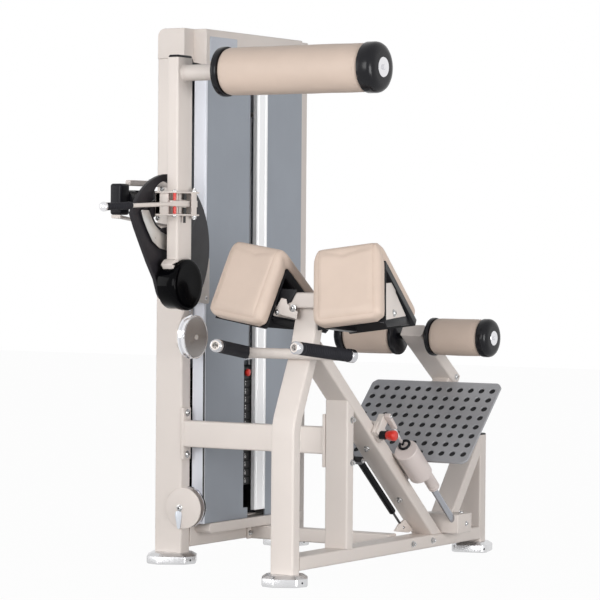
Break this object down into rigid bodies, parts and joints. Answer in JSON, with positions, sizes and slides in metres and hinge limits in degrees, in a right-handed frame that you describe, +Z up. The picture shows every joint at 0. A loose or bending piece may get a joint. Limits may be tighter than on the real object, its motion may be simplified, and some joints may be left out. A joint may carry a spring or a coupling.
{
  "type": "back extension machine",
  "caption": "Selectorised back extension machine: weight stack tower, swinging upper-back roller arm, saddle thigh pads, handles, and a sliding foot plate carriage with ankle rollers",
  "frame": {"origin": "middle of the footprint's bounding box, on the floor", "axes": "+Z up; +X from the weight tower towards the user's frame; the user faces -Y"},
  "size_m": [1.0106, 1.5938, 1.704],
  "materials": {
    "cream_paint": "satin powder coat",
    "tan_leather": "smooth upholstery leather over foam",
    "black_plastic": "satin moulded",
    "black_gloss": "high gloss",
    "black_rubber": "matt",
    "chrome": "polished",
    "steel": "satin",
    "black_steel": "black satin",
    "aluminium": "satin anodised",
    "grey_panel": "satin grey",
    "black_iron": "black painted",
    "red_plastic": "smooth"
  },
  "bodies": {
    "frame": {"foot_tower_front": "chrome", "foot_tower_rear": "chrome", "foot_frame_front": "chrome", "foot_frame_rear": "chrome", "front_column": "cream_paint", "rear_column": "cream_paint", "tower_base_beam": "cream_paint", "tower_cap": "cream_paint", "back_cover": "grey_panel", "shroud_front_panel": "grey_panel", "shroud_profile": "aluminium", "shroud_rear_panel": "grey_panel", "shroud_sill": "cream_paint", "weight_stack": "black_iron", "guide_rod_front": "chrome", "guide_rod_rear": "chrome", "lift_cable": "black_plastic", "drive_cable": "black_plastic", "lower_pulley_cover": "cream_paint", "pivot_bracket": "cream_paint", "stop_block": "black_rubber", "front_leg": "cream_paint", "rear_leg": "cream_paint", "diagonal_beam": "cream_paint", "side_base_beam": "cream_paint", "brace": "cream_paint", "upper_crossbeam": "cream_paint", "lower_crossbeam": "cream_paint", "handlebar": "cream_paint", "grip_left": "black_rubber", "grip_right": "black_rubber", "pad_left": "tan_leather", "pad_right": "tan_leather", "pad_shell_left": "black_plastic", "pad_shell_right": "black_plastic", "guide_rod": "chrome", "gas_spring_rod": "steel"},
    "cam": {"cam": "black_plastic", "range_plate": "steel"},
    "arm": {"arm_tube": "cream_paint", "hub_cover": "black_gloss", "latch_bracket": "cream_paint"},
    "back_roller": {"back_roller_core": "black_plastic", "back_roller_pad": "tan_leather"},
    "latch_lever": {"latch_lever": "cream_paint", "latch_grip": "black_rubber"},
    "latch_pin": {"latch_pin": "red_plastic"},
    "head_weight": {"head_weight": "black_iron"},
    "selector_pin": {"selector_pin": "red_plastic"},
    "top_pulley": {"top_pulley": "black_plastic"},
    "idler_pulley": {"idler_pulley": "aluminium"},
    "lower_pulley": {"lower_pulley": "chrome"},
    "carriage": {"carriage": "cream_paint", "foot_plate": "steel", "gas_spring_cylinder": "black_steel"},
    "ankle_rollers": {"ankle_roller_core": "black_plastic", "ankle_pad_left": "tan_leather", "ankle_pad_right": "tan_leather"},
    "release_lever": {"release_lever": "cream_paint"},
    "pull_knob": {"pull_knob": "red_plastic"}
  },
  "joints": [
    {"name": "cam_turn", "type": "hinge", "parent": "frame", "child": "cam", "pos_m": [-0.23508, -0.38, 0.892], "axis": [1, 0, 0], "range_deg": [-60, 0]},
    {"name": "arm_start", "type": "hinge", "parent": "cam", "child": "arm", "pos_m": [-0.23508, -0.38, 0.892], "axis": [1, 0, 0], "range_deg": [-11, 22]},
    {"name": "back_roller_spin", "type": "hinge", "parent": "arm", "child": "back_roller", "pos_m": [0.20492, -0.38, 1.545], "axis": [1, 0, 0], "continuous": true},
    {"name": "latch_lever_swing", "type": "hinge", "parent": "arm", "child": "latch_lever", "pos_m": [-0.19758, -0.355, 1.1415], "axis": [0, 0, 1], "range_deg": [-4, 0]},
    {"name": "latch_pin_slide", "type": "slide", "parent": "arm", "child": "latch_pin", "axis": [1, 0, 0], "range_m": [-0.0068, 0]},
    {"name": "stack_rise", "type": "slide", "parent": "frame", "child": "head_weight", "axis": [0, 0, 1], "range_m": [0, 0.25], "deforming": ["lift_cable"]},
    {"name": "selector_pull", "type": "slide", "parent": "head_weight", "child": "selector_pin", "axis": [1, 0, 0], "range_m": [0, 0.02]},
    {"name": "top_pulley_spin", "type": "hinge", "parent": "frame", "child": "top_pulley", "pos_m": [-0.39508, 0.125, 1.52], "axis": [1, 0, 0], "range_deg": [0, 342]},
    {"name": "idler_pulley_spin", "type": "hinge", "parent": "frame", "child": "idler_pulley", "pos_m": [-0.31108, -0.186, 0.724], "axis": [1, 0, 0], "range_deg": [0, 218]},
    {"name": "lower_pulley_spin", "type": "hinge", "parent": "frame", "child": "lower_pulley", "pos_m": [-0.36608, -0.1215, 0.178], "axis": [0, 1, 0], "range_deg": [-252, 0]},
    {"name": "carriage_slide", "type": "slide", "parent": "frame", "child": "carriage", "axis": [0, 0.7683, -0.6401], "range_m": [-0.08, 0.055]},
    {"name": "ankle_roller_spin", "type": "hinge", "parent": "carriage", "child": "ankle_rollers", "pos_m": [0.20992, 0.33, 0.727], "axis": [1, 0, 0], "continuous": true},
    {"name": "release_lever_lift", "type": "hinge", "parent": "carriage", "child": "release_lever", "pos_m": [0.27392, 0.03951, 0.48343], "axis": [1, 0, 0], "range_deg": [0, 35]},
    {"name": "pull_knob_pull", "type": "slide", "parent": "carriage", "child": "pull_knob", "axis": [1, 0, 0], "range_m": [0, 0.01], "stiffness_N_per_m": 300, "springref_m": -0.01}
  ],
  "couplings": [
    {"joint": "stack_rise", "follows": "cam_turn", "m_per_rad": -0.2387},
    {"joint": "top_pulley_spin", "follows": "cam_turn", "ratio": -5.68},
    {"joint": "idler_pulley_spin", "follows": "cam_turn", "ratio": -3.62},
    {"joint": "lower_pulley_spin", "follows": "cam_turn", "ratio": 4.19},
    {"joint": "latch_pin_slide", "follows": "latch_lever_swing", "m_per_rad": 0.094}
  ]
}
